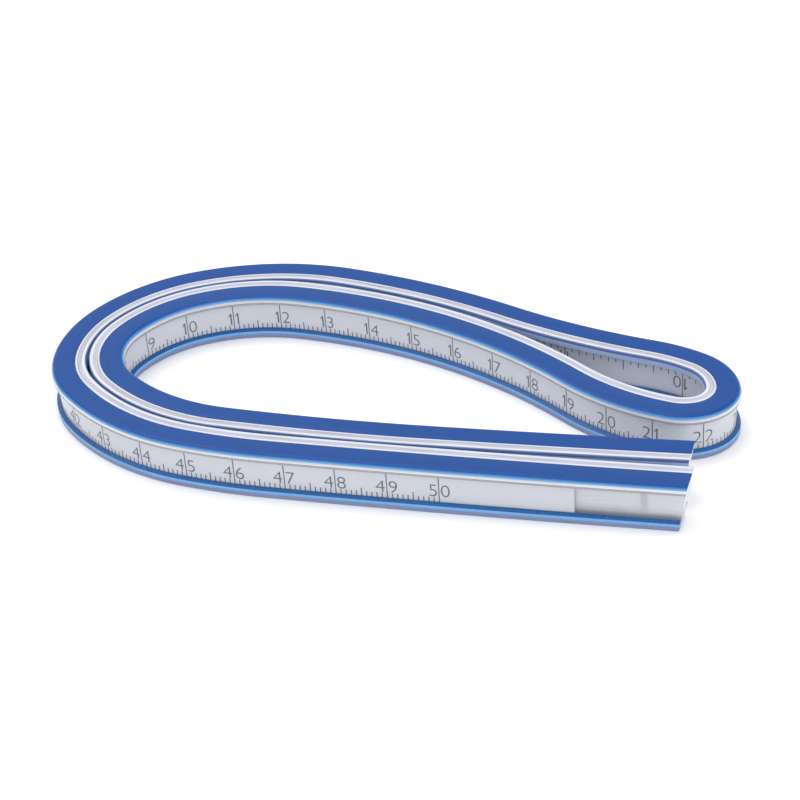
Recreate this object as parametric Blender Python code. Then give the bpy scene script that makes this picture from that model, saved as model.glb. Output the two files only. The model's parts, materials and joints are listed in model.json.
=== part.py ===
"""Flexible curve ruler with a 50 cm scale, lying on its bottom edge and bent by hand.

The ruler is one strip, about 580 mm long. Its neutral line is a chain of straight stretches and arcs in the
XY plane, and everything is swept along that line: s is the distance from the zero end, y is sideways
(positive on the centimetre side, the right hand of somebody walking from 0 to 50) and z is up.
A real one bends everywhere. Here it bends at upright hinges on the neutral line, so the plastic is cut
into links, and the core, springs and scale tapes run through all of them.
"""

import math

import bmesh
import bpy
from mathutils import Vector
from mathutils.geometry import tessellate_polygon

MM = 0.001  # every dimension below is in millimetres, and every angle is in degrees

# The plastic section
HEIGHT = 10.0
HALF_WIDTH = 3.55
LIP_HEIGHT = 1.8  # lips above and below each scale pocket
LIP_DEPTH = 0.6
POCKET_FLOOR = 2.1  # distance of a pocket's floor from the middle
POCKET_REACH = 0.4  # how far a pocket runs behind its lips
CHANNEL_HALF_WIDTH = 1.65
CHANNEL_BOTTOM = 2.2

# The blue bands, which reach from here to the centimetre side
BAND_INCH_EDGE = -1.35
BAND_THICKNESS = 0.7
CLEARANCE = 0.3  # round the bands, and across a closed cut between two links

# The scale tapes
TAPE_THICKNESS = 0.3
TAPE_FACE = 2.7
TAPE_EDGE = 1.6  # from the bottom and from the top of the ruler
TAPE_END = 21.5  # from either end of the ruler

# The core, its springs and the end plugs
CORE_HALF_WIDTH = 0.95
SPRING_INNER = 1.2
SPRING_THICKNESS = 0.25
CORE_BOTTOM = 2.6
CORE_END = 9.5
PLUG_LENGTH = 8.0
PLUG_GAP = 0.2

# The bend: stretches of the neutral line as (length, turn to the left)
START_HEADING = 169.5
TURN_JOINTS = 5
CELL_TURN = 180.0 / TURN_JOINTS
ZERO_ARM = [(50.6, -1.3), (41.2, -5.2)]
INNER_CELLS = [26.4, 10.3, 10.0, 16.9, 23.2]
BACK_LOOP = [
    (66.8, -33.6),
    (22.1, 26.7), (5.9, 37.7), (9.0, 72.5), (10.4, 53.3), (10.3, 16.9),
    (32.5, -12.9), (38.1, 14.5),
]
OUTER_CELLS = [32.3, 21.9, 16.3, 13.0, 29.5]
FIFTY_ARM = [(17.4, 8.1), (80.3, 2.0)]
FACET_TURN = 9.5  # the most an arc turns between two rings of a sweep
FACET_LENGTH = 14.0  # the most that two rings are apart

# The hinges
ZERO_TIP = 35.0  # distance of the tip hinges from the ends
FIFTY_TIP = 35.0
ZERO_TIP_SWING = 9.0
FIFTY_TIP_SWING = 30.0

# Colours: red, green, blue, roughness, metallic, alpha
COLOURS = {
    "clear_pvc": (0.86, 0.89, 0.93, 0.15, 0.0, 0.6),
    "blue_pvc": (0.03, 0.10, 0.42, 0.35, 0.0, 1.0),
    "tape": (0.78, 0.81, 0.85, 0.45, 0.0, 1.0),
    "lead": (0.25, 0.26, 0.28, 0.60, 1.0, 1.0),
    "steel": (0.55, 0.56, 0.58, 0.30, 1.0, 1.0),
}


# The neutral line

STRETCHES = (
    ZERO_ARM
    + [(length, -CELL_TURN) for length in INNER_CELLS]
    + BACK_LOOP
    + [(length, CELL_TURN) for length in OUTER_CELLS]
    + FIFTY_ARM
)
LENGTH = sum(length for length, _ in STRETCHES)


def advance(x, y, heading, length, turn):
    """Where a stretch that starts at (x, y) ends. Angles are in radians."""
    chord = length if abs(turn) < 1e-9 else 2 * length / turn * math.sin(turn / 2)
    middle = heading + turn / 2
    return x + chord * math.cos(middle), y + chord * math.sin(middle), heading + turn


def route(s):
    """Point and heading of the neutral line at distance s, before it is centred."""
    x, y, heading = 0.0, 0.0, math.radians(START_HEADING)
    for length, turn in STRETCHES:
        part = min(s, length)
        x, y, heading = advance(x, y, heading, part, math.radians(turn) * part / length)
        s -= part
        if s <= 0:
            break
    return x, y, heading


def ring_stations():
    """Distances at which every sweep has a ring: both ends of each stretch, and steps along its arc."""
    found = [0.0]
    for length, turn in STRETCHES:
        steps = math.ceil(max(abs(turn) / FACET_TURN, length / FACET_LENGTH))
        start = found[-1]
        found += [start + length * (step + 1) / steps for step in range(steps)]
    return found


STATIONS = ring_stations()


def place(s, y, along=0.0):
    """Plan position of a point y to the centimetre side of the neutral line, pushed along it."""
    x0, y0, heading = route(s)
    forward = Vector((math.cos(heading), math.sin(heading)))
    right = Vector((forward.y, -forward.x))
    return Vector((x0, y0)) + right * y + forward * along


def plan_centre():
    """Middle of the ruler's bounding box in plan."""
    edges = [place(s, side) for s in STATIONS for side in (-HALF_WIDTH, HALF_WIDTH)]
    xs = [point.x for point in edges]
    ys = [point.y for point in edges]
    return Vector(((min(xs) + max(xs)) / 2, (min(ys) + max(ys)) / 2))


CENTRE = plan_centre()


# The hinges

def cell_middles(start, cells):
    """Hinge distances: the middle of each cell of a turn."""
    middles = []
    for cell in cells:
        middles.append(start + cell / 2)
        start += cell
    return middles


INNER_START = sum(length for length, _ in ZERO_ARM)
OUTER_START = INNER_START + sum(INNER_CELLS) + sum(length for length, _ in BACK_LOOP)
# each hinge: distance, angle it closes through, and the side whose plastic closes up
HINGES = (
    [(ZERO_TIP, ZERO_TIP_SWING, 1)]
    + [(s, CELL_TURN, -1) for s in cell_middles(INNER_START, INNER_CELLS)]
    + [(s, CELL_TURN, 1) for s in cell_middles(OUTER_START, OUTER_CELLS)]
    + [(LENGTH - FIFTY_TIP, FIFTY_TIP_SWING, 1)]
)
BODIES = (
    ["zero_tip", "zero_arm"]
    + ["inner_%d" % number for number in range(1, TURN_JOINTS)]
    + ["back_loop"]
    + ["outer_%d" % number for number in range(1, TURN_JOINTS)]
    + ["fifty_arm", "fifty_tip"]
)


def cut_back(hinge, y):
    """How far a link's end face stands back from its hinge at y, so that the cut can close."""
    _, swing, side = hinge
    return CLEARANCE / 2 + math.tan(math.radians(swing) / 2) * max(0.0, side * y)


# Sweeps

def ring_position(ring, y):
    """Plan position of a ring's vertex. A ring is (distance, hinge or None, sign of its cut)."""
    s, hinge, sign = ring
    along = sign * cut_back(hinge, y) if hinge else 0.0
    return place(s, y, along)


def rings_between(start, end, start_hinge=None, end_hinge=None):
    """Rings of a sweep from start to end, whose ends may be cut for a hinge."""
    reach = math.tan(math.radians(CELL_TURN) / 2) * HALF_WIDTH + CLEARANCE
    low = start + (reach if start_hinge else 0.1)
    high = end - (reach if end_hinge else 0.1)
    inner = [(s, None, 0) for s in STATIONS if low < s < high]
    return [(start, start_hinge, 1)] + inner + [(end, end_hinge, -1)]


def cap_triangles(halves, points):
    """Triangles of an end face, given as polygons of indices into the section's points."""
    triangles = []
    for half in halves:
        outline = [Vector((points[index][0], points[index][1], 0.0)) for index in half]
        for triangle in tessellate_polygon([outline]):
            a, b, c = (half[corner] for corner in triangle)
            (ay, az), (by, bz), (cy, cz) = points[a], points[b], points[c]
            area = (by - ay) * (cz - az) - (bz - az) * (cy - ay)
            triangles.append((a, b, c) if area > 0 else (a, c, b))
    return triangles


def sweep(name, loops, halves, rings, material):
    """A solid whose section is the loops of (y, z) points. Outer loops run anticlockwise, holes clockwise.

    Seen with +y to the right and +z up, which is the view along the neutral line from the zero end.
    """
    points = [point for loop in loops for point in loop]
    mesh_builder = bmesh.new()
    levels = []
    for ring in rings:
        plan = [ring_position(ring, y) - CENTRE for y, _ in points]
        levels.append([
            mesh_builder.verts.new((spot.x * MM, spot.y * MM, z * MM))
            for spot, (_, z) in zip(plan, points)
        ])
    for near, far in zip(levels, levels[1:]):
        base = 0
        for loop in loops:
            count = len(loop)
            for index in range(count):
                a, b = base + index, base + (index + 1) % count
                mesh_builder.faces.new((near[a], near[b], far[b], far[a]))
            base += count
    for a, b, c in cap_triangles(halves, points):
        mesh_builder.faces.new((levels[0][a], levels[0][c], levels[0][b]))
        mesh_builder.faces.new((levels[-1][a], levels[-1][b], levels[-1][c]))
    bmesh.ops.recalc_face_normals(mesh_builder, faces=mesh_builder.faces)
    mesh = bpy.data.meshes.new(name)
    mesh_builder.to_mesh(mesh)
    mesh_builder.free()
    mesh.materials.append(material)
    body = bpy.data.objects.new(name, mesh)
    bpy.context.scene.collection.objects.link(body)
    return body


def hinge_origin(body, s):
    """Moves the object's origin onto the hinge at distance s, leaving the shape where it is."""
    spot = (place(s, 0.0) - CENTRE) * MM
    offset = Vector((spot.x, spot.y, 0.0))
    for vertex in body.data.vertices:
        vertex.co -= offset
    body.location = offset


# Sections

def sleeve_section():
    """Loops and end-face polygons of the clear plastic, split at y = 0 where the end faces crease."""
    face = HALF_WIDTH
    lip = HALF_WIDTH - LIP_DEPTH
    floor = POCKET_FLOOR
    low, high = LIP_HEIGHT, HEIGHT - LIP_HEIGHT
    deep_low, deep_high = low - POCKET_REACH, high + POCKET_REACH
    recess = BAND_THICKNESS + CLEARANCE
    left = BAND_INCH_EDGE - CLEARANCE
    cm_side = [
        (0.0, recess), (face, recess), (face, low), (lip, low), (lip, deep_low), (floor, deep_low),
        (floor, deep_high), (lip, deep_high), (lip, high), (face, high),
        (face, HEIGHT - recess), (0.0, HEIGHT - recess),
    ]
    inch_side = [
        (left, HEIGHT - recess), (left, HEIGHT), (-face, HEIGHT), (-face, high),
        (-lip, high), (-lip, deep_high), (-floor, deep_high), (-floor, deep_low),
        (-lip, deep_low), (-lip, low), (-face, low), (-face, 0.0),
        (left, 0.0), (left, recess),
    ]
    width, bottom, top = CHANNEL_HALF_WIDTH, CHANNEL_BOTTOM, HEIGHT - CHANNEL_BOTTOM
    channel = [(0.0, bottom), (-width, bottom), (-width, top), (0.0, top), (width, top), (width, bottom)]
    outer = cm_side + inch_side
    hole = len(outer)
    last_cm = len(cm_side) - 1
    right_half = list(range(last_cm + 1)) + [hole + 3, hole + 4, hole + 5, hole]
    left_half = [last_cm] + list(range(last_cm + 1, hole)) + [0, hole, hole + 1, hole + 2, hole + 3]
    return [outer, channel], [right_half, left_half]


def bar_section(left, right, bottom, top):
    """Loop and end-face polygons of a plain bar. A bar that crosses y = 0 has points there too."""
    if left < 0 < right:
        loop = [(0.0, bottom), (right, bottom), (right, top), (0.0, top), (left, top), (left, bottom)]
        return [loop], [[0, 1, 2, 3], [3, 4, 5, 0]]
    return [[(left, bottom), (right, bottom), (right, top), (left, top)]], [[0, 1, 2, 3]]


# Materials

def plastic_or_metal(name):
    """A Principled material with one of the named colours."""
    red, green, blue, roughness, metallic, alpha = COLOURS[name]
    material = bpy.data.materials.new(name)
    material.use_nodes = True
    shader = material.node_tree.nodes["Principled BSDF"]
    shader.inputs["Base Color"].default_value = (red, green, blue, 1.0)
    shader.inputs["Roughness"].default_value = roughness
    shader.inputs["Metallic"].default_value = metallic
    shader.inputs["Alpha"].default_value = alpha
    return material


# Sub-parts

def build_links(materials):
    """The sleeve and its two bands, link by link from the zero end."""
    sleeve_loops, sleeve_halves = sleeve_section()
    top_loops, top_halves = bar_section(BAND_INCH_EDGE, HALF_WIDTH, HEIGHT - BAND_THICKNESS, HEIGHT)
    low_loops, low_halves = bar_section(BAND_INCH_EDGE, HALF_WIDTH, 0.0, BAND_THICKNESS)
    starts = [None] + HINGES
    ends = HINGES + [None]
    root = BODIES.index("back_loop")
    for number, (name, start, end) in enumerate(zip(BODIES, starts, ends)):
        s0 = start[0] if start else 0.0
        s1 = end[0] if end else LENGTH
        rings = rings_between(s0, s1, start, end)
        pieces = [
            sweep("sleeve_" + name, sleeve_loops, sleeve_halves, rings, materials["clear_pvc"]),
            sweep("top_band_" + name, top_loops, top_halves, rings, materials["blue_pvc"]),
            sweep("bottom_band_" + name, low_loops, low_halves, rings, materials["blue_pvc"]),
        ]
        if number != root:
            for piece in pieces:
                hinge_origin(piece, s1 if number < root else s0)


def build_tapes(materials):
    """The two printed scale tapes in their side pockets."""
    rings = rings_between(TAPE_END, LENGTH - TAPE_END)
    inner = TAPE_FACE - TAPE_THICKNESS
    cm_loops, cm_halves = bar_section(inner, TAPE_FACE, TAPE_EDGE, HEIGHT - TAPE_EDGE)
    inch_loops, inch_halves = bar_section(-TAPE_FACE, -inner, TAPE_EDGE, HEIGHT - TAPE_EDGE)
    sweep("scale_tape_cm", cm_loops, cm_halves, rings, materials["tape"])
    sweep("scale_tape_inch", inch_loops, inch_halves, rings, materials["tape"])


def build_core(materials):
    """The lead bar and a spring strip on each side of it, in the middle channel."""
    rings = rings_between(CORE_END, LENGTH - CORE_END)
    top = HEIGHT - CORE_BOTTOM
    outer = SPRING_INNER + SPRING_THICKNESS
    lead_loops, lead_halves = bar_section(-CORE_HALF_WIDTH, CORE_HALF_WIDTH, CORE_BOTTOM, top)
    cm_loops, cm_halves = bar_section(SPRING_INNER, outer, CORE_BOTTOM, top)
    inch_loops, inch_halves = bar_section(-outer, -SPRING_INNER, CORE_BOTTOM, top)
    sweep("lead_core", lead_loops, lead_halves, rings, materials["lead"])
    sweep("spring_strip_cm", cm_loops, cm_halves, rings, materials["steel"])
    sweep("spring_strip_inch", inch_loops, inch_halves, rings, materials["steel"])


def build_plugs(materials):
    """The plugs that close the channel at both ends."""
    side = CHANNEL_HALF_WIDTH - PLUG_GAP
    bottom = CHANNEL_BOTTOM + PLUG_GAP
    loops, halves = bar_section(-side, side, bottom, HEIGHT - bottom)
    zero_rings = rings_between(0.0, PLUG_LENGTH)
    fifty_rings = rings_between(LENGTH - PLUG_LENGTH, LENGTH)
    hinge_origin(sweep("end_plug_zero", loops, halves, zero_rings, materials["clear_pvc"]), ZERO_TIP)
    fifty_plug = sweep("end_plug_fifty", loops, halves, fifty_rings, materials["clear_pvc"])
    hinge_origin(fifty_plug, LENGTH - FIFTY_TIP)


def main():
    for item in list(bpy.data.objects):
        bpy.data.objects.remove(item)
    materials = {name: plastic_or_metal(name) for name in COLOURS}
    build_links(materials)
    build_tapes(materials)
    build_core(materials)
    build_plugs(materials)


main()
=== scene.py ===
"""Looks of the flexible curve ruler: bent clear PVC strip, blue bands, printed tapes, core and springs.

Every piece is swept along the neutral line of the ruler, like the CAD parts. s is the distance from the
zero end, y is sideways (positive on the centimetre side) and z is up, all in millimetres. The strip is cut
into tiles: one over each hinge, and one for each stretch that stays rigid.
"""

import json
import math

import bpy
from mathutils import Euler, Matrix, Vector
from mathutils.geometry import tessellate_polygon


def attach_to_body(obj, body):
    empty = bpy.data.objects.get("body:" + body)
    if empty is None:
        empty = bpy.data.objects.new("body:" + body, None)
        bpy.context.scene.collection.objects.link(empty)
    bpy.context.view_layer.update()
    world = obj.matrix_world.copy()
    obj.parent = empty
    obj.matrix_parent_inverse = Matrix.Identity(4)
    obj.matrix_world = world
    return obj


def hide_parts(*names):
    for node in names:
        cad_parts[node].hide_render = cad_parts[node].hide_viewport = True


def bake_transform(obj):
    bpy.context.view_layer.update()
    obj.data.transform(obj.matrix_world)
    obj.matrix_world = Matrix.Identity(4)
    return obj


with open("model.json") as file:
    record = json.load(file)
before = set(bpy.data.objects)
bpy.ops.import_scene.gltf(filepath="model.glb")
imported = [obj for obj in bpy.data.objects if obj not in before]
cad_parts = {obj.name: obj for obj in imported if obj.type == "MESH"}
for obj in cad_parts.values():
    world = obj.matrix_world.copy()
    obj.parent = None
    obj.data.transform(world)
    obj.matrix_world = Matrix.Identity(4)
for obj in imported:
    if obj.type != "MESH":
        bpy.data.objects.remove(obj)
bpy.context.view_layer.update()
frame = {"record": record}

MM = 0.001  # dimensions below are in millimetres, and angles in degrees

# The bend, as the CAD has it: stretches of the neutral line as (length, turn to the left)
START_HEADING = 169.5
CELL_TURN = 36.0
ZERO_ARM = [(50.6, -1.3), (41.2, -5.2)]
INNER_CELLS = [26.4, 10.3, 10.0, 16.9, 23.2]
BACK_LOOP = [
    (66.8, -33.6),
    (22.1, 26.7), (5.9, 37.7), (9.0, 72.5), (10.4, 53.3), (10.3, 16.9),
    (32.5, -12.9), (38.1, 14.5),
]
OUTER_CELLS = [32.3, 21.9, 16.3, 13.0, 29.5]
FIFTY_ARM = [(17.4, 8.1), (80.3, 2.0)]
ZERO_TIP = 35.0  # distance of the tip hinges from the ends
FIFTY_TIP = 35.0
TIP_BEND = 12.0  # half the length of the tile over a tip hinge

# The section, as the CAD has it
HEIGHT = 10.0
HALF_WIDTH = 3.55
BAND_INCH_EDGE = -1.35
BAND_THICKNESS = 0.7
LIP_HEIGHT = 1.8
LIP_INNER = 2.95
POCKET_FLOOR = 2.1
POCKET_REACH = 0.4
CHANNEL_HALF_WIDTH = 1.65
CHANNEL_BOTTOM = 2.2
TAPE_FACE = 2.7
TAPE_THICKNESS = 0.3
TAPE_EDGE = 1.6
TAPE_END = 21.5
CORE_HALF_WIDTH = 0.95
CORE_BOTTOM = 2.6
CORE_END = 9.5
SPRING_INNER = 1.2
SPRING_THICKNESS = 0.25
PLUG_LENGTH = 8.0
PLUG_GAP = 0.2

# Fine shape that only the looks have
SHOULDER = 1.2  # radius of the rounded top corner on the centimetre side
CLEAR_TURN = 25  # the shoulder is clear up to this angle, and the band starts one degree further
PALE_TURN = 40  # the band carries a painted pale sheen up to this angle
RIM_TURN = 54  # and a fainter painted sheen up to this one, and is full blue from it
FOOT_ROUND = 0.3  # radius of the bottom corners
LIP_ROUND = 0.15  # of the lips' outer corners
CREST_ROUND = 0.25  # of the top corner on the inch side
EDGE_ROUND = 0.12  # and of the two edges that meet beside the top band
FLANGE_TOP = 1.05  # where the foot's painted grey shade ends and its painted light starts
BAND_LEDGE = 2.8  # where the flat seat of the top band ends, on the centimetre side
GROOVE = [(-1.75, 0.0), (-1.9, 0.16), (-2.5, 0.14)]  # shallow groove beside the top band, as (y, depth)
RIDGE = [(-2.7, 0.0), (-3.05, 0.0)]  # and the flat ridge beyond it
LINE_FOOT = 0.65  # how far down from the top the painted shade line at the inch side's top corner ends
LIP_BEVEL = 0.1  # of the lips' edges, and the gap from their crests to the tapes' faces
LIP_CREST = 0.3  # how far the lower lips rise towards their tapes
FIT = 0.02  # gap between the bands and the sleeve
PLUG_INSET = 0.05  # how far the plugs stay inside the ends
INK_PROUD = 0.02  # how far the print stands off the tapes
CUT_BACK = 1.4  # how far the slanted cut at an end comes in from the top to the bottom
CUT_SKEW = 0.8  # and from side to side
CUT_REACH = 8.0  # length over which the strip follows the slant
RING_TURN = 3.0  # the most that the strip turns between two rings of a sweep
RING_LENGTH = 2.0  # longest step between two rings
BEND_RING_LENGTH = 1.0  # longest step between two rings over a hinge, and of a scale's readings
SHARP_TURN = 32  # an edge that turns more than this is drawn sharp

# The printed scales
CM_ZERO = 45.8  # distance of each zero line along its own tape from the end of the ruler
INCH_ZERO = 41.8
CM_COUNT = 50
INCH_COUNT = 19
INCH = 25.4
LINE_WIDTH = 0.21
DIGIT_HEIGHT = 2.75
DIGIT_BASE = 3.3
DIGIT_GAP = 0.38  # between a digit and the line beside it
DIGIT_THINNING = -0.012
TICK_FOOT = 2.0
MM_TICK = 1.15
HALF_TICK = 1.9  # the line halfway between two centimetres
INCH_TICKS = {8: 2.6, 4: 1.9, 2: 1.5, 1: 1.15}  # height of a line by the step it marks, in sixteenths

# The view: where the camera looks on the ground, from how far, and how it is turned
TARGET = (13.0, 7.4)
VIEW_DISTANCE = 424.6
VIEW_ELEVATION = 34.43
VIEW_ROLL = -3.31
LENS = 93.6
SHIFT = (-0.069, -0.017)

# The studio
WORLD_COLOUR = (1.0, 1.0, 1.0)
WORLD_STRENGTH = 0.85
FLOOR_COLOUR = (0.93, 0.93, 0.93)


# The neutral line

STRETCHES = (
    ZERO_ARM
    + [(length, -CELL_TURN) for length in INNER_CELLS]
    + BACK_LOOP
    + [(length, CELL_TURN) for length in OUTER_CELLS]
    + FIFTY_ARM
)
LENGTH = sum(length for length, _ in STRETCHES)
INNER_START = sum(length for length, _ in ZERO_ARM)
INNER_END = INNER_START + sum(INNER_CELLS)
OUTER_START = INNER_END + sum(length for length, _ in BACK_LOOP)
OUTER_END = OUTER_START + sum(OUTER_CELLS)


def advance(x, y, heading, length, turn):
    """Where a stretch that starts at (x, y) ends. Angles are in radians."""
    chord = length if abs(turn) < 1e-9 else 2 * length / turn * math.sin(turn / 2)
    middle = heading + turn / 2
    return x + chord * math.cos(middle), y + chord * math.sin(middle), heading + turn


def route(s):
    """Point and heading of the neutral line at distance s, before it is moved onto the CAD part."""
    x, y, heading = 0.0, 0.0, math.radians(START_HEADING)
    for length, turn in STRETCHES:
        part = min(s, length)
        x, y, heading = advance(x, y, heading, part, math.radians(turn) * part / length)
        s -= part
        if s <= 0:
            break
    return x, y, heading


def joint_spot(name):
    """Plan position of a joint in the record, in millimetres."""
    joint = next(one for one in frame["record"]["behaviour"]["joints"] if one["name"] == name)
    return Vector(joint["pos_m"][:2]) / MM


FIRST_OUTER_HINGE = OUTER_START + OUTER_CELLS[0] / 2
PLAN_SHIFT = joint_spot("unroll_outer_1") - Vector(route(FIRST_OUTER_HINGE)[:2])


def spot(s, y):
    """Plan position of a point y to the centimetre side of the neutral line, in the part's frame."""
    x0, y0, heading = route(s)
    right = Vector((math.sin(heading), -math.cos(heading)))
    return Vector((x0, y0)) + right * y + PLAN_SHIFT


def turned(s):
    """How far the neutral line has turned to the left by distance s, in radians."""
    return route(s)[2] - math.radians(START_HEADING)


# Tiles

def turn_tiles(start, lengths, bodies):
    """The tiles of a U turn: one cell over each of its hinges."""
    tiles = []
    for length, before, after in zip(lengths, bodies, bodies[1:]):
        tiles.append((start, start + length, [before, after]))
        start += length
    return tiles


def build_tiles():
    """Every tile as (start, end, bodies). A tile with two bodies lies over the hinge between them."""
    inner_count, outer_count = len(INNER_CELLS), len(OUTER_CELLS)
    inner_bodies = ["zero_arm"] + ["inner_%d" % n for n in range(1, inner_count)] + ["back_loop"]
    outer_bodies = ["back_loop"] + ["outer_%d" % n for n in range(1, outer_count)] + ["fifty_arm"]
    zero_hinge, fifty_hinge = ZERO_TIP, LENGTH - FIFTY_TIP
    tiles = [
        (0.0, zero_hinge - TIP_BEND, ["zero_tip"]),
        (zero_hinge - TIP_BEND, zero_hinge + TIP_BEND, ["zero_tip", "zero_arm"]),
        (zero_hinge + TIP_BEND, INNER_START, ["zero_arm"]),
    ]
    tiles += turn_tiles(INNER_START, INNER_CELLS, inner_bodies)
    tiles.append((INNER_END, OUTER_START, ["back_loop"]))
    tiles += turn_tiles(OUTER_START, OUTER_CELLS, outer_bodies)
    return tiles + [
        (OUTER_END, fifty_hinge - TIP_BEND, ["fifty_arm"]),
        (fifty_hinge - TIP_BEND, fifty_hinge + TIP_BEND, ["fifty_arm", "fifty_tip"]),
        (fifty_hinge + TIP_BEND, LENGTH, ["fifty_tip"]),
    ]


def stations(start, end, longest):
    """Distances of the rings of a sweep from start to end."""
    found = [start]
    at = 0.0
    for length, turn in STRETCHES:
        low, high = max(start, at), min(end, at + length)
        if high - low > 1e-6:
            steps = math.ceil(max(abs(turn) * (high - low) / length / RING_TURN, (high - low) / longest))
            found += [low + (high - low) * (step + 1) / steps for step in range(steps)]
        at += length
    return found


def attach(piece, tile):
    """Makes a piece ride on its tile's body. A piece on a tile with two bodies is left in place, on no
    body.
    """
    start, end, bodies = tile
    if len(bodies) == 1:
        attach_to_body(piece, bodies[0])
        return
    hinge = (start + end) / 2
    middle = spot(hinge, 0.0)
    along = (spot(end, 0.0) - spot(start, 0.0)).normalized()
    sides = (-HALF_WIDTH, HALF_WIDTH)
    reach = min(
        min((middle - spot(start, y)).dot(along) for y in sides),
        min((spot(end, y) - middle).dot(along) for y in sides),
    )
    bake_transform(piece)


# Profiles of the section. A profile is a list of loops: the outline, and then its holes. A loop is a list
# of (y, z, finish), anticlockwise with +y to the right and +z up, or clockwise for a hole. A finish names
# the material of the wall that starts at that point.

def walls(points, finish):
    """The points with one finish."""
    return [(y, z, finish) for y, z in points]


def arc(y, z, radius, first, last, steps):
    """Points on an arc about (y, z), between two angles."""
    angles = [math.radians(first + (last - first) * step / steps) for step in range(steps + 1)]
    return [(y + radius * math.cos(angle), z + radius * math.sin(angle)) for angle in angles]


def bar(left, right, bottom, top, finish):
    """A plain rectangle."""
    return walls([(left, bottom), (right, bottom), (right, top), (left, top)], finish)


def sleeve_profiles():
    """The clear plastic, with its blue-tinted bottom flange, and the channel inside it. Its walls carry
    painted light and shade: lit and shaded zones on the flange, painted highlights, painted shadow lines
    and painted refracted blue.
    """
    face, lip, floor = HALF_WIDTH, LIP_INNER, POCKET_FLOOR
    low, high = LIP_HEIGHT, HEIGHT - LIP_HEIGHT
    deep_low, deep_high = low - POCKET_REACH, high + POCKET_REACH
    under = BAND_THICKNESS + FIT
    seat = HEIGHT - under
    edge = BAND_INCH_EDGE - FIT
    shoulder_y, shoulder_z = face - SHOULDER, HEIGHT - SHOULDER
    pocket = [(lip, deep_low), (floor, deep_low), (floor, deep_high)]
    corner = face - LIP_ROUND
    # painted light and shade on the foot: grey-blue shade low down and underneath, light blue higher up,
    # dark shade on the shelf
    outer = walls([(edge, under), (face, under)], "flange_grey")
    outer += walls([(face, FLANGE_TOP)], "flange_light")
    outer += walls(arc(corner, low - LIP_ROUND, LIP_ROUND, 0, 70, 3), "flange_shelf")
    outer += walls([(TAPE_FACE + LIP_BEVEL, low + LIP_CREST), (lip, low - LIP_BEVEL)], "flange_shelf")
    outer += walls(pocket, "pocket_wall")
    outer += walls([(lip, deep_high), (lip, high), (corner, high)], "lip_clear")
    # painted shadow: a dark line under the upper lip's outer corner
    outer += walls(arc(corner, high + LIP_ROUND, LIP_ROUND, -60, 0, 3), "lip_edge")
    outer += walls(arc(shoulder_y, shoulder_z, SHOULDER, 0, CLEAR_TURN, 3), "lip_clear")
    outer += walls([(BAND_LEDGE, seat), (edge, seat)], "clear")
    # painted highlight: a white glint along the edge beside the top band
    outer += walls(arc(edge - EDGE_ROUND, HEIGHT - EDGE_ROUND, EDGE_ROUND, 0, 90, 3), "glint")
    # the clear top's grey-lavender colour is painted shade and refracted blue
    outer += walls([(y, HEIGHT - depth) for y, depth in GROOVE], "clear")
    # painted highlight on the flat ridge
    outer += walls([(y, HEIGHT - depth) for y, depth in RIDGE], "glint")
    # painted shade: a dark blue line at the inch side's top corner, for the shadow in the gap between the
    # strands
    outer += walls(arc(-face + CREST_ROUND, HEIGHT - CREST_ROUND, CREST_ROUND, 90, 165, 4), "lip_line")
    # painted shade and refracted blue: the inch side's clear faces are tinted lavender blue
    outer += walls([(-face, HEIGHT - LINE_FOOT), (-face, high + LIP_BEVEL)], "lip_lavender")
    outer += walls([(-face + LIP_BEVEL, high), (-lip, high), (-lip, deep_high)], "lip_lavender")
    outer += walls([(-y, z) for y, z in reversed(pocket)], "pocket_wall")
    # the same painted light and shade on the inch side's foot
    outer += walls([(-lip, low - LIP_BEVEL), (-TAPE_FACE - LIP_BEVEL, low + LIP_CREST)], "flange_shelf")
    outer += walls(arc(-corner, low - LIP_ROUND, LIP_ROUND, 110, 180, 3), "flange_light")
    outer += walls([(-face, FLANGE_TOP)], "flange_grey")
    outer += walls(arc(-face + FOOT_ROUND, FOOT_ROUND, FOOT_ROUND, 180, 270, 3), "flange_grey")
    outer += walls([(edge, 0.0)], "flange_grey")
    width, bottom, top = CHANNEL_HALF_WIDTH, CHANNEL_BOTTOM, HEIGHT - CHANNEL_BOTTOM
    channel = walls([(-width, bottom), (-width, top), (width, top), (width, bottom)], "pocket_wall")
    return [[outer, channel]]


def band_profiles():
    """The blue bands. The top one rolls over the shoulder and is painted paler towards its edge, as a
    painted sheen.
    """
    face = HALF_WIDTH
    shoulder_y, shoulder_z = face - SHOULDER, HEIGHT - SHOULDER
    seat = HEIGHT - BAND_THICKNESS
    # painted sheen: the band is painted palest at its edge on the shoulder, then fainter, then full blue
    top = walls(arc(shoulder_y, shoulder_z, SHOULDER, CLEAR_TURN + 1, PALE_TURN, 3), "band_edge")
    top += walls(arc(shoulder_y, shoulder_z, SHOULDER, PALE_TURN, RIM_TURN, 3), "band_rim")
    top += walls(arc(shoulder_y, shoulder_z, SHOULDER, RIM_TURN, 90, 8), "band")
    top += walls(arc(BAND_INCH_EDGE + EDGE_ROUND, HEIGHT - EDGE_ROUND, EDGE_ROUND, 90, 180, 3), "band")
    top += walls([(BAND_INCH_EDGE, seat), (BAND_LEDGE, seat)], "band")
    bottom = walls([(BAND_INCH_EDGE, 0.0)], "band")
    # painted grey shade on the bottom band's corner, as on the foot
    bottom += walls(arc(face - FOOT_ROUND, FOOT_ROUND, FOOT_ROUND, -90, 0, 4), "flange_grey")
    bottom += walls([(face, BAND_THICKNESS), (BAND_INCH_EDGE, BAND_THICKNESS)], "band")
    return [[top], [bottom]]


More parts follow.
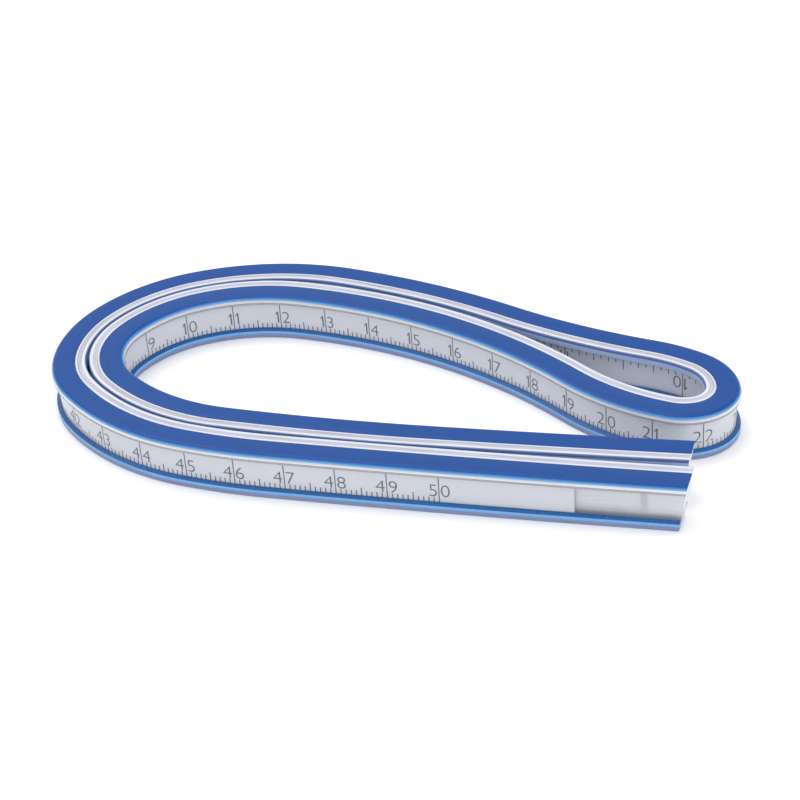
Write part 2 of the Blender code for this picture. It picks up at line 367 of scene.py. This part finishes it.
def tape_profiles():
    """Both tapes, with their printed faces outwards."""
    inner = TAPE_FACE - TAPE_THICKNESS
    top = HEIGHT - TAPE_EDGE
    return [
        [bar(inner, TAPE_FACE, TAPE_EDGE, top, "tape")],
        [bar(-TAPE_FACE, -inner, TAPE_EDGE, top, "tape")],
    ]


def spring_profiles():
    """The two spring strips."""
    outer, top = SPRING_INNER + SPRING_THICKNESS, HEIGHT - CORE_BOTTOM
    return [
        [bar(SPRING_INNER, outer, CORE_BOTTOM, top, "spring")],
        [bar(-outer, -SPRING_INNER, CORE_BOTTOM, top, "spring")],
    ]


def lead_profiles():
    """The lead bar."""
    return [[bar(-CORE_HALF_WIDTH, CORE_HALF_WIDTH, CORE_BOTTOM, HEIGHT - CORE_BOTTOM, "lead")]]


def plug_profile():
    """The plug that closes the channel at an end."""
    side, bottom = CHANNEL_HALF_WIDTH - PLUG_GAP, CHANNEL_BOTTOM + PLUG_GAP
    return [bar(-side, side, bottom, HEIGHT - bottom, "plug")]


# Sweeps

def cut_inset(s, y, z):
    """How far a point near an end moves along the ruler, because both ends are cut at a slant."""
    across = (y + HALF_WIDTH) / (2 * HALF_WIDTH)
    back = CUT_BACK * (HEIGHT - z) / HEIGHT
    at_zero = (back + CUT_SKEW * (1 - across)) * max(0.0, 1 - s / CUT_REACH)
    at_fifty = (back + CUT_SKEW * across) * max(0.0, 1 - (LENGTH - s) / CUT_REACH)
    return at_zero - at_fifty


class Builder:
    """Collects vertices, faces and their finishes, and turns them into one piece."""

    def __init__(self):
        self.vertices = []
        self.section = []
        self.faces = []
        self.finishes = []

    def ring(self, loop, s):
        """Adds a loop's vertices at distance s and returns their numbers."""
        first = len(self.vertices)
        for y, z, _ in loop:
            plan = spot(s + cut_inset(s, y, z), y)
            self.vertices.append((plan.x * MM, plan.y * MM, z * MM))
            self.section.append((s, y, z))
        return list(range(first, first + len(loop)))

    def face(self, corners, finish):
        """Adds a face between vertices."""
        self.faces.append(corners)
        self.finishes.append(finish)

    def sweep(self, loops, rings, open_start, open_end):
        """Sweeps a profile through the rings. An open end has no cap, because another tile meets it."""
        ends = []
        for loop in loops:
            levels = [self.ring(loop, s) for s in rings]
            ends.append((levels[0], levels[-1]))
            for near, far in zip(levels, levels[1:]):
                for index, (_, _, finish) in enumerate(loop):
                    after = (index + 1) % len(loop)
                    self.face((near[index], near[after], far[after], far[index]), finish)
        if not open_start:
            self.cap(loops, [level for level, _ in ends], flip=True)
        if not open_end:
            self.cap(loops, [level for _, level in ends], flip=False)

    def cap(self, loops, levels, flip):
        """Closes an end with triangles between the loops."""
        numbers = [number for level in levels for number in level]
        outlines = [[Vector((y, z, 0.0)) for y, z, _ in loop] for loop in loops]
        flat = [(y, z) for loop in loops for y, z, _ in loop]
        finish = "cut_face" if len(loops) > 1 else loops[0][-1][2]
        for a, b, c in tessellate_polygon(outlines):
            (ay, az), (by, bz), (cy, cz) = flat[a], flat[b], flat[c]
            anticlockwise = (by - ay) * (cz - az) - (bz - az) * (cy - ay) > 0
            corners = (a, b, c) if anticlockwise != flip else (a, c, b)
            self.face(tuple(numbers[corner] for corner in corners), finish)

    def piece(self, name, finishes, slot, nodes):
        """The object, which stands for the nodes. The materials read its section coordinates."""
        mesh = bpy.data.meshes.new(name)
        mesh.from_pydata(self.vertices, [], self.faces)
        names = sorted(set(self.finishes))
        for finish in names:
            mesh.materials.append(finishes[finish])
        mesh.polygons.foreach_set("material_index", [names.index(finish) for finish in self.finishes])
        section = mesh.attributes.new("section", "FLOAT_VECTOR", "POINT")
        section.data.foreach_set("vector", [value for point in self.section for value in point])
        mesh.shade_smooth()
        mesh.set_sharp_from_angle(angle=math.radians(SHARP_TURN))
        piece = bpy.data.objects.new(name, mesh)
        bpy.context.scene.collection.objects.link(piece)
        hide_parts(*nodes)
        return piece


def clip(tile, margin):
    """The stretch of a tile that is at least margin from both ends of the ruler.

    The last two values say whether its start and its end meet another tile's piece.
    """
    start, end, _ = tile
    low, high = max(start, margin), min(end, LENGTH - margin)
    return low, high, low == start and start > 0, high == end and end < LENGTH


# Print

def glyph_shapes():
    """Flat meshes of the ten digits, one unit tall, as (vertices, triangles, width).

    The 1 is drawn here, as a plain stem with a flag. The others come from the font.
    """
    shapes = {}
    for digit in "023456789":
        curve = bpy.data.curves.new("digit", "FONT")
        curve.body = digit
        curve.offset = DIGIT_THINNING
        carrier = bpy.data.objects.new("digit", curve)
        bpy.context.scene.collection.objects.link(carrier)
        graph = bpy.context.evaluated_depsgraph_get()
        mesh = carrier.evaluated_get(graph).to_mesh()
        points = [vertex.co.copy() for vertex in mesh.vertices]
        mesh.calc_loop_triangles()
        triangles = [tuple(triangle.vertices) for triangle in mesh.loop_triangles]
        low_x, high_x = min(p.x for p in points), max(p.x for p in points)
        low_y, high_y = min(p.y for p in points), max(p.y for p in points)
        tall = high_y - low_y
        shapes[digit] = (
            [((p.x - low_x) / tall, (p.y - low_y) / tall) for p in points],
            triangles,
            (high_x - low_x) / tall,
        )
        bpy.data.objects.remove(carrier)
        bpy.data.curves.remove(curve)
    stem, flag = 0.12, 0.26
    side = flag - stem
    upright = [(side, 0.0), (flag, 0.0), (flag, 1.0), (side, 1.0)]
    stroke = [(0.0, 0.76), (0.0, 0.66), (side, 0.84)]
    shapes["1"] = (upright + stroke, [(0, 1, 2), (0, 2, 3), (3, 4, 5), (3, 5, 6)], flag)
    return shapes


class Scale:
    """A printed scale. side is 1 for the centimetre tape and -1 for the inch tape, which is upside down."""

    def __init__(self, side, zero):
        self.side = side
        self.zero = zero
        places = stations(TAPE_END, LENGTH - TAPE_END, BEND_RING_LENGTH)
        self.samples = [(self.reading(s), s) for s in places]

    def reading(self, s):
        """Distance from the zero line along the tape, which is not that of the neutral line in a bend."""
        return s + self.side * TAPE_FACE * turned(s) - self.zero

    def distance(self, reading):
        """The distance s at which the tape has that reading."""
        for (before, s0), (after, s1) in zip(self.samples, self.samples[1:]):
            if reading <= after:
                return s0 + (s1 - s0) * (reading - before) / (after - before)
        return self.samples[-1][1]

    def height(self, z):
        """The height of a mark that is at z on an upright tape."""
        return z if self.side > 0 else HEIGHT - z

    def marks(self, shapes):
        """Every mark as (reading of its middle, vertices as (reading, z), triangles)."""
        return centimetre_marks(shapes) if self.side > 0 else inch_marks(shapes)


def line_mark(reading, bottom, top):
    """A straight upright line."""
    left, right = reading - LINE_WIDTH / 2, reading + LINE_WIDTH / 2
    corners = [(left, bottom), (right, bottom), (right, top), (left, top)]
    return reading, corners, [(0, 1, 2), (0, 2, 3)]


def digit_mark(shapes, digit, left):
    """A digit with its left edge at a reading."""
    points, triangles, width = shapes[digit]
    placed = [(left + x * DIGIT_HEIGHT, DIGIT_BASE + y * DIGIT_HEIGHT) for x, y in points]
    return left + width * DIGIT_HEIGHT / 2, placed, triangles


def number_marks(shapes, number, reading):
    """A number at its line: a single digit to the right of it, or a digit on each side of it."""
    text = str(number)
    found = [digit_mark(shapes, text[-1], reading + DIGIT_GAP)]
    if len(text) > 1:
        width = shapes[text[0]][2] * DIGIT_HEIGHT
        found.append(digit_mark(shapes, text[0], reading - DIGIT_GAP - width))
    return found


def centimetre_marks(shapes):
    """Millimetre ticks, longer ones at the halves, and a full line and a number at each centimetre."""
    found = []
    for tick in range(CM_COUNT * 10 + 1):
        if tick % 10 == 0:
            found.append(line_mark(float(tick), TICK_FOOT, HEIGHT - TAPE_EDGE))
            if tick:
                found += number_marks(shapes, tick // 10, float(tick))
        else:
            length = HALF_TICK if tick % 5 == 0 else MM_TICK
            found.append(line_mark(float(tick), TICK_FOOT, TICK_FOOT + length))
    return found


def inch_marks(shapes):
    """Sixteenths, longer at the eighths, quarters and halves, and a full line and number at each inch."""
    found = []
    for tick in range(INCH_COUNT * 16 + 1):
        reading = tick * INCH / 16
        if tick % 16 == 0:
            found.append(line_mark(reading, TICK_FOOT, HEIGHT - TAPE_EDGE))
            if tick:
                found += number_marks(shapes, tick // 16, reading)
            continue
        length = next(height for step, height in INCH_TICKS.items() if tick % step == 0)
        found.append(line_mark(reading, TICK_FOOT, TICK_FOOT + length))
    return found


def print_marks(builder, scale, marks, tile):
    """Adds the marks whose middles lie on a tile, a hair above the face of the tape."""
    start, end, _ = tile
    level = scale.side * (TAPE_FACE + INK_PROUD)
    for middle, points, triangles in marks:
        if not scale.reading(start) <= middle < scale.reading(end):
            continue
        first = len(builder.vertices)
        for reading, z in points:
            s = scale.distance(reading)
            plan, height = spot(s, level), scale.height(z)
            builder.vertices.append((plan.x * MM, plan.y * MM, height * MM))
            builder.section.append((s, level, height))
        for triangle in triangles:
            builder.face(tuple(first + corner for corner in triangle), "ink")


# Materials

DRAWN_LINES = 0.00003  # depth of the fine lines that extrusion and rolling leave, in metres
SCUFF_COLOUR = (0.55, 0.60, 0.70)


def new_material(name):
    """A material, its node tree and its shader."""
    material = bpy.data.materials.new(name)
    material.use_nodes = True
    return material, material.node_tree, material.node_tree.nodes["Principled BSDF"]


def section_noise(tree, scales, detail=3.0):
    """Noise in the section's own coordinates, (s, y, z) in millimetres, with a scale for each of them."""
    place = tree.nodes.new("ShaderNodeAttribute")
    place.attribute_name = "section"
    mapping = tree.nodes.new("ShaderNodeMapping")
    mapping.inputs["Scale"].default_value = scales
    noise = tree.nodes.new("ShaderNodeTexNoise")
    noise.inputs["Detail"].default_value = detail
    tree.links.new(place.outputs["Vector"], mapping.inputs["Vector"])
    tree.links.new(mapping.outputs["Vector"], noise.inputs["Vector"])
    return noise.outputs["Fac"]


def ramp(tree, source, low, high, first, last):
    """A value that goes from first to last as source goes from low to high."""
    node = tree.nodes.new("ShaderNodeMapRange")
    node.inputs["From Min"].default_value = low
    node.inputs["From Max"].default_value = high
    node.inputs["To Min"].default_value = first
    node.inputs["To Max"].default_value = last
    tree.links.new(source, node.inputs["Value"])
    return node.outputs["Result"]


def mixed_colour(tree, factor, first, last):
    """A colour between two, by a factor."""
    node = tree.nodes.new("ShaderNodeMix")
    node.data_type = "RGBA"
    node.inputs["A"].default_value = (*first, 1.0)
    node.inputs["B"].default_value = (*last, 1.0)
    tree.links.new(factor, node.inputs["Factor"])
    return node.outputs["Result"]


def bumped(tree, shader, height, strength):
    """Connects a bump from a height to the shader's normal."""
    node = tree.nodes.new("ShaderNodeBump")
    node.inputs["Strength"].default_value = strength
    node.inputs["Distance"].default_value = DRAWN_LINES
    tree.links.new(height, node.inputs["Height"])
    tree.links.new(node.outputs["Normal"], shader.inputs["Normal"])


def tinted(colour, factor):
    """The colour made lighter or darker."""
    return tuple(min(1.0, channel * factor) for channel in colour)


def extruded_plastic(
    name, colour, roughness, contrast=0.12, alpha=1.0, scuffs=0.0, specular=0.5, coat=0.0
):
    """Satin extruded plastic: soft streaks along the ruler, fine drawn lines and perhaps small scuffs."""
    material, tree, shader = new_material(name)
    streaks = section_noise(tree, (0.02, 1.4, 1.4))
    lines = section_noise(tree, (0.05, 9.0, 9.0), detail=2.0)
    blotches = section_noise(tree, (0.25, 0.5, 0.5))
    tone = ramp(tree, streaks, 0.3, 0.7, 0.0, 1.0)
    colour_now = mixed_colour(tree, tone, tinted(colour, 1 - contrast), tinted(colour, 1 + contrast))
    if scuffs:
        scratches = section_noise(tree, (1.4, 16.0, 16.0), detail=4.0)
        worn = ramp(tree, scratches, 0.66, 0.76, 0.0, scuffs)
        scuffed = tree.nodes.new("ShaderNodeMix")
        scuffed.data_type = "RGBA"
        scuffed.inputs["B"].default_value = (*SCUFF_COLOUR, 1.0)
        tree.links.new(worn, scuffed.inputs["Factor"])
        tree.links.new(colour_now, scuffed.inputs["A"])
        colour_now = scuffed.outputs["Result"]
    tree.links.new(colour_now, shader.inputs["Base Color"])
    rough = ramp(tree, blotches, 0.3, 0.7, roughness * 0.75, min(1.0, roughness * 1.3))
    tree.links.new(rough, shader.inputs["Roughness"])
    shader.inputs["Alpha"].default_value = alpha
    shader.inputs["Specular IOR Level"].default_value = specular
    shader.inputs["Coat Weight"].default_value = coat
    shader.inputs["Coat Roughness"].default_value = 0.06
    bumped(tree, shader, lines, 0.35)
    return material


def drawn_metal(name, colour, roughness):
    """Rolled metal with lines along it."""
    material, tree, shader = new_material(name)
    lines = section_noise(tree, (0.03, 12.0, 12.0), detail=4.0)
    tone = ramp(tree, lines, 0.3, 0.7, 0.0, 1.0)
    colour_now = mixed_colour(tree, tone, tinted(colour, 0.8), tinted(colour, 1.2))
    rough = ramp(tree, lines, 0.3, 0.7, roughness * 0.8, roughness * 1.25)
    tree.links.new(colour_now, shader.inputs["Base Color"])
    tree.links.new(rough, shader.inputs["Roughness"])
    shader.inputs["Metallic"].default_value = 1.0
    bumped(tree, shader, lines, 0.3)
    return material


def printing_ink():
    """Dark grey ink, a little thin in places."""
    material, tree, shader = new_material("ink")
    grain = section_noise(tree, (2.5, 2.5, 2.5), detail=4.0)
    tone = ramp(tree, grain, 0.35, 0.7, 0.0, 1.0)
    colour = mixed_colour(tree, tone, (0.085, 0.09, 0.12), (0.17, 0.18, 0.22))
    rough = ramp(tree, grain, 0.3, 0.7, 0.4, 0.6)
    tree.links.new(colour, shader.inputs["Base Color"])
    tree.links.new(rough, shader.inputs["Roughness"])
    return material


def build_finishes():
    """Every finish that a wall of a section can name."""
    return {
        # grey-lavender colour and streaks painted for shade and refracted blue in the clear plastic
        "clear": extruded_plastic("clear_pvc", (0.68, 0.70, 0.80), 0.14, contrast=0.22, alpha=0.6),
        # painted highlight for the clear plastic's edges
        "glint": extruded_plastic("clear_edge_painted_highlight", (0.86, 0.86, 0.92), 0.12, contrast=0.1, alpha=0.7),
        "plug": extruded_plastic("clear_plug", (0.88, 0.89, 0.92), 0.3, contrast=0.05, alpha=0.9),
        # painted shadow line under the upper lip
        "lip_edge": extruded_plastic("lip_edge", (0.30, 0.31, 0.37), 0.25, contrast=0.1, alpha=0.7),
        "lip_clear": extruded_plastic("clear_lip", (0.90, 0.90, 0.92), 0.12, contrast=0.08, alpha=0.6),
        # painted shade line for the gap between the strands
        "lip_line": extruded_plastic("lip_line", (0.10, 0.16, 0.36), 0.2, contrast=0.15),
        # painted shade and refracted blue on the inch side's clear faces
        "lip_lavender": extruded_plastic(
            "lip_lavender", (0.42, 0.52, 0.78), 0.18, contrast=0.15, alpha=0.85
        ),
        "pocket_wall": extruded_plastic("pocket_wall", (0.80, 0.82, 0.86), 0.2, contrast=0.06, alpha=0.42),
        "cut_face": extruded_plastic("cut_face", (0.80, 0.80, 0.84), 0.5, contrast=0.1, alpha=0.92),
        "band": extruded_plastic("blue_band", (0.009, 0.060, 0.25), 0.36, scuffs=0.2, specular=0.18),
        # lighter copies of the blue for the painted sheen on the shoulder
        "band_edge": extruded_plastic("blue_band_painted_sheen", (0.12, 0.32, 0.62), 0.3, specular=0.3),
        "band_rim": extruded_plastic("blue_band_painted_faint_sheen", (0.030, 0.16, 0.44), 0.3, specular=0.3),
        # lit and shaded copies of the foot's blue tint: painted light, painted grey shade and painted dark
        # shade on the shelf
        "flange_light": extruded_plastic("flange_light", (0.16, 0.38, 0.72), 0.28, specular=0.3),
        "flange_grey": extruded_plastic("flange_grey", (0.20, 0.25, 0.42), 0.32, specular=0.3),
        "flange_shelf": extruded_plastic("flange_shelf", (0.016, 0.10, 0.30), 0.26, specular=0.3),
        "tape": extruded_plastic("tape_film", (0.55, 0.57, 0.63), 0.42, contrast=0.03, coat=0.5),
        "ink": printing_ink(),
        "lead": drawn_metal("dull_lead", (0.25, 0.26, 0.28), 0.6),
        "spring": drawn_metal("rolled_steel", (0.78, 0.79, 0.81), 0.45),
    }


# The ruler

def strips():
    """The parts that run along the ruler, as (name, profiles, distance from the ends, slot, nodes).

    A node's name that ends with _ stands for one node on each body.
    """
    return [
        ("sleeve_skin", sleeve_profiles(), 0.0, "sleeve", ["sleeve_"]),
        ("bands", band_profiles(), 0.0, "band", ["top_band_", "bottom_band_"]),
        ("lead", lead_profiles(), CORE_END, "lead", ["lead_core"]),
        ("springs", spring_profiles(), CORE_END, "spring_steel", ["spring_strip_cm", "spring_strip_inch"]),
        ("tapes", tape_profiles(), TAPE_END, "tape", ["scale_tape_cm", "scale_tape_inch"]),
    ]


def nodes_on(bodies, nodes):
    """The full names of a strip's nodes."""
    found = []
    for node in nodes:
        found += [node + body for body in bodies] if node.endswith("_") else [node]
    return found


def build_strip(strip, tile, finishes, scales):
    """One tile's piece of a strip, where the strip reaches the tile. The tapes get their print."""
    name, profiles, margin, slot, nodes = strip
    low, high, open_start, open_end = clip(tile, margin)
    if high <= low:
        return
    bodies = tile[2]
    rings = stations(low, high, RING_LENGTH if len(bodies) == 1 else BEND_RING_LENGTH)
    builder = Builder()
    for profile in profiles:
        builder.sweep(profile, rings, open_start, open_end)
    if name == "tapes":
        for scale, marks in scales:
            print_marks(builder, scale, marks, tile)
    piece_name = name + "_" + "_to_".join(bodies)
    attach(builder.piece(piece_name, finishes, slot, nodes_on(bodies, nodes)), tile)


def build_plug(end, start, finish, finishes):
    """The plug at an end of the ruler."""
    builder = Builder()
    builder.sweep(plug_profile(), stations(start, finish, RING_LENGTH), False, False)
    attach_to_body(builder.piece("plug_" + end, finishes, "plug", ["end_plug_" + end]), end + "_tip")


def build_ruler():
    """All the pieces, tile by tile, and then the plugs."""
    finishes = build_finishes()
    shapes = glyph_shapes()
    scales = [(scale, scale.marks(shapes)) for scale in (Scale(1, CM_ZERO), Scale(-1, INCH_ZERO))]
    parts = strips()
    for tile in build_tiles():
        for strip in parts:
            build_strip(strip, tile, finishes, scales)
    build_plug("zero", PLUG_INSET, PLUG_LENGTH, finishes)
    build_plug("fifty", LENGTH - PLUG_LENGTH, LENGTH - PLUG_INSET, finishes)


# Studio

def white_floor():
    """Plain pale floor."""
    material, _, shader = new_material("floor_white")
    shader.inputs["Base Color"].default_value = (*FLOOR_COLOUR, 1.0)
    shader.inputs["Roughness"].default_value = 0.7
    bpy.ops.mesh.primitive_plane_add(size=6.0, location=(0, 0, 0))
    floor = bpy.context.object
    floor.name = "floor"
    floor.data.materials.append(material)


def add_light(name, location, size, power):
    """A soft square light that faces the middle of the part."""
    light = bpy.data.lights.new(name, "AREA")
    light.size = size
    light.energy = power
    lamp = bpy.data.objects.new(name, light)
    lamp.location = location
    lamp.rotation_euler = (-Vector(location)).to_track_quat("-Z", "Y").to_euler()
    bpy.context.scene.collection.objects.link(lamp)


def build_studio():
    """World light, two soft lights and the camera."""
    scene = bpy.context.scene
    scene.view_settings.view_transform = "Standard"
    world = bpy.data.worlds.new("studio")
    world.use_nodes = True
    background = world.node_tree.nodes["Background"]
    background.inputs["Color"].default_value = (*WORLD_COLOUR, 1.0)
    background.inputs["Strength"].default_value = WORLD_STRENGTH
    scene.world = world
    add_light("key", location=(-0.25, 0.25, 0.8), size=0.6, power=3.4)
    add_light("fill", location=(0.3, -0.45, 0.65), size=0.6, power=2.2)
    camera = bpy.data.cameras.new("camera")
    camera.lens = LENS
    camera.shift_x, camera.shift_y = SHIFT
    camera.clip_start, camera.clip_end = 0.01, 20.0
    holder = bpy.data.objects.new("camera", camera)
    elevation = math.radians(VIEW_ELEVATION)
    back = Vector((0.0, -math.cos(elevation), math.sin(elevation))) * VIEW_DISTANCE
    holder.location = (Vector((*TARGET, 0.0)) + back) * MM
    look = Euler((math.radians(90 - VIEW_ELEVATION), 0.0, 0.0)).to_matrix()
    holder.rotation_euler = (look @ Matrix.Rotation(math.radians(VIEW_ROLL), 3, "Z")).to_euler()
    scene.collection.objects.link(holder)
    scene.camera = holder


build_ruler()
white_floor()
build_studio()
